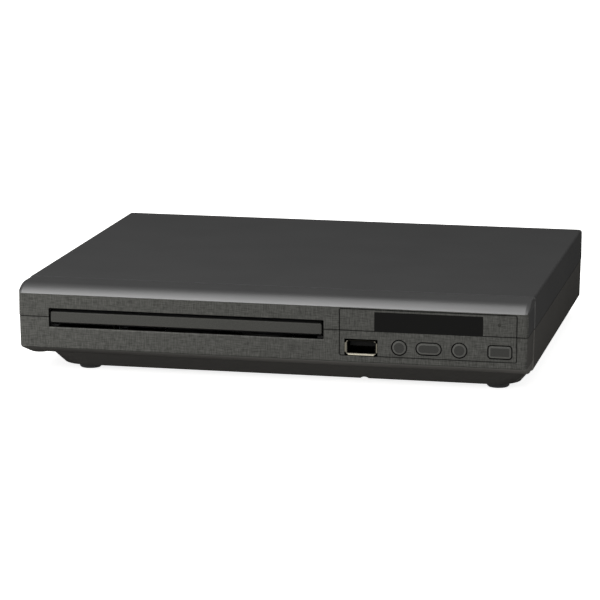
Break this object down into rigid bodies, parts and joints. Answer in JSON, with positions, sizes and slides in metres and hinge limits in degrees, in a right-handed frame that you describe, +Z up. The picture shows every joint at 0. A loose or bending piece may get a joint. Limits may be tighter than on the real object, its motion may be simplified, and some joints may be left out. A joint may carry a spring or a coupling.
{
  "type": "compact disc player",
  "caption": "Low two-shell disc player with a motorised tray behind a bevelled door, a dark display, round, oval and square buttons and a USB port on its front face.",
  "frame": {"origin": "on the surface that the feet stand on, under the middle of the case's box", "axes": "X to the right as seen from the front, Y from the front face to the back, Z up"},
  "size_m": [0.226, 0.192, 0.0405],
  "materials": {
    "case_upper": "satin",
    "case_lower": "matte",
    "door": "satin",
    "rubber": "matte",
    "black_gloss": "gloss",
    "button_plastic": "satin",
    "tray_plastic": "matte",
    "frame_plastic": "matte",
    "gear_plastic": "matte",
    "puck_plastic": "matte",
    "zinc_steel": "satin",
    "motor_can": "satin",
    "polished_steel": "polished",
    "screw_steel": "satin",
    "socket_metal": "polished",
    "board_green": "satin",
    "board_brown": "satin",
    "board_black": "satin",
    "chip_black": "matte",
    "capacitor_sleeve": "gloss",
    "transformer_core": "matte",
    "jack_yellow": "satin",
    "jack_white": "satin",
    "jack_red": "satin",
    "lens_glass": "polished",
    "sled_plastic": "matte"
  },
  "bodies": {
    "case": {"top_case": "case_upper", "bottom_case": "case_lower", "rubber_feet": "rubber", "case_screws": "screw_steel", "loader_frame": "frame_plastic", "loader_screws": "screw_steel", "clamp_bridge": "zinc_steel", "bridge_screws": "screw_steel", "loading_motor": "motor_can", "drive_belt": "rubber", "display_window": "black_gloss", "display_module": "frame_plastic", "front_board": "board_black", "tact_switches": "chip_black", "ir_receiver": "black_gloss", "usb_shell": "socket_metal", "usb_tongue": "chip_black", "main_board": "board_green", "board_screws": "screw_steel", "board_chips": "chip_black", "board_capacitors": "capacitor_sleeve", "power_board": "board_brown", "transformer": "transformer_core", "jack_panel": "case_lower", "rca_bodies": "chip_black", "rca_barrels": "socket_metal", "rca_core_yellow": "jack_yellow", "rca_core_white": "jack_white", "rca_core_red": "jack_red", "hdmi_socket": "socket_metal", "cord_gland": "rubber"},
    "tray": {"disc_tray": "tray_plastic", "tray_door": "door"},
    "deck": {"deck_plate": "zinc_steel", "deck_pins": "polished_steel", "guide_rods": "polished_steel", "spindle_motor": "motor_can", "sled_motor": "motor_can"},
    "spindle": {"spindle_shaft": "polished_steel", "turntable": "puck_plastic"},
    "sled": {"pickup_sled": "sled_plastic", "pickup_lens": "lens_glass"},
    "screw": {"lead_screw": "polished_steel"},
    "cam": {"cam_slide": "gear_plastic"},
    "clamp": {"clamp_puck": "puck_plastic"},
    "rotor": {"motor_shaft": "polished_steel", "motor_pulley": "gear_plastic"},
    "belt_gear": {"pulley_gear": "gear_plastic"},
    "tray_gear": {"drive_gear": "gear_plastic"},
    "button_round_left": {"round_button_left": "button_plastic"},
    "button_oval": {"oval_button": "button_plastic"},
    "button_round_right": {"round_button_right": "button_plastic"},
    "button_square": {"square_button": "button_plastic"}
  },
  "joints": [
    {"name": "tray_slide", "type": "slide", "parent": "case", "child": "tray", "axis": [0, -1, 0], "range_m": [0, 0.126]},
    {"name": "tray_gear_spin", "type": "hinge", "parent": "case", "child": "tray_gear", "pos_m": [0.0114, -0.08, 0.018], "axis": [0, 0, 1], "continuous": true},
    {"name": "belt_gear_spin", "type": "hinge", "parent": "case", "child": "belt_gear", "pos_m": [-0.003, -0.08, 0.018], "axis": [0, 0, 1], "continuous": true},
    {"name": "rotor_spin", "type": "hinge", "parent": "case", "child": "rotor", "pos_m": [-0.0383, -0.066, 0.018], "axis": [0, 0, 1], "continuous": true},
    {"name": "deck_lift", "type": "slide", "parent": "case", "child": "deck", "axis": [0, 0, 1], "range_m": [0, 0.008]},
    {"name": "cam_travel", "type": "slide", "parent": "case", "child": "cam", "axis": [0, -1, 0], "range_m": [0, 0.016]},
    {"name": "turntable_spin", "type": "hinge", "parent": "deck", "child": "spindle", "pos_m": [-0.0374, -0.03, 0.018], "axis": [0, 0, 1], "continuous": true},
    {"name": "sled_travel", "type": "slide", "parent": "deck", "child": "sled", "axis": [0, 1, 0], "range_m": [0, 0.034]},
    {"name": "lead_screw_spin", "type": "hinge", "parent": "deck", "child": "screw", "pos_m": [-0.0099, 0, 0.0114], "axis": [0, 1, 0], "continuous": true},
    {"name": "clamp_spin", "type": "hinge", "parent": "case", "child": "clamp", "pos_m": [-0.0374, -0.03, 0.031], "axis": [0, 0, 1], "continuous": true},
    {"name": "button_round_left_press", "type": "slide", "parent": "case", "child": "button_round_left", "axis": [0, 1, 0], "range_m": [0, 0.0005], "stiffness_N_per_m": 400, "springref_m": -0.0005},
    {"name": "button_oval_press", "type": "slide", "parent": "case", "child": "button_oval", "axis": [0, 1, 0], "range_m": [0, 0.0005], "stiffness_N_per_m": 400, "springref_m": -0.0005},
    {"name": "button_round_right_press", "type": "slide", "parent": "case", "child": "button_round_right", "axis": [0, 1, 0], "range_m": [0, 0.0005], "stiffness_N_per_m": 400, "springref_m": -0.0005},
    {"name": "button_square_press", "type": "slide", "parent": "case", "child": "button_square", "axis": [0, 1, 0], "range_m": [0, 0.0005], "stiffness_N_per_m": 400, "springref_m": -0.0005}
  ],
  "couplings": [
    {"joint": "tray_gear_spin", "follows": "tray_slide", "rad_per_m": -142.86},
    {"joint": "belt_gear_spin", "follows": "tray_slide", "rad_per_m": 285.71},
    {"joint": "rotor_spin", "follows": "tray_slide", "rad_per_m": 775.51},
    {"joint": "cam_travel", "follows": "deck_lift", "ratio": 2},
    {"joint": "lead_screw_spin", "follows": "sled_travel", "rad_per_m": -2094.4}
  ]
}
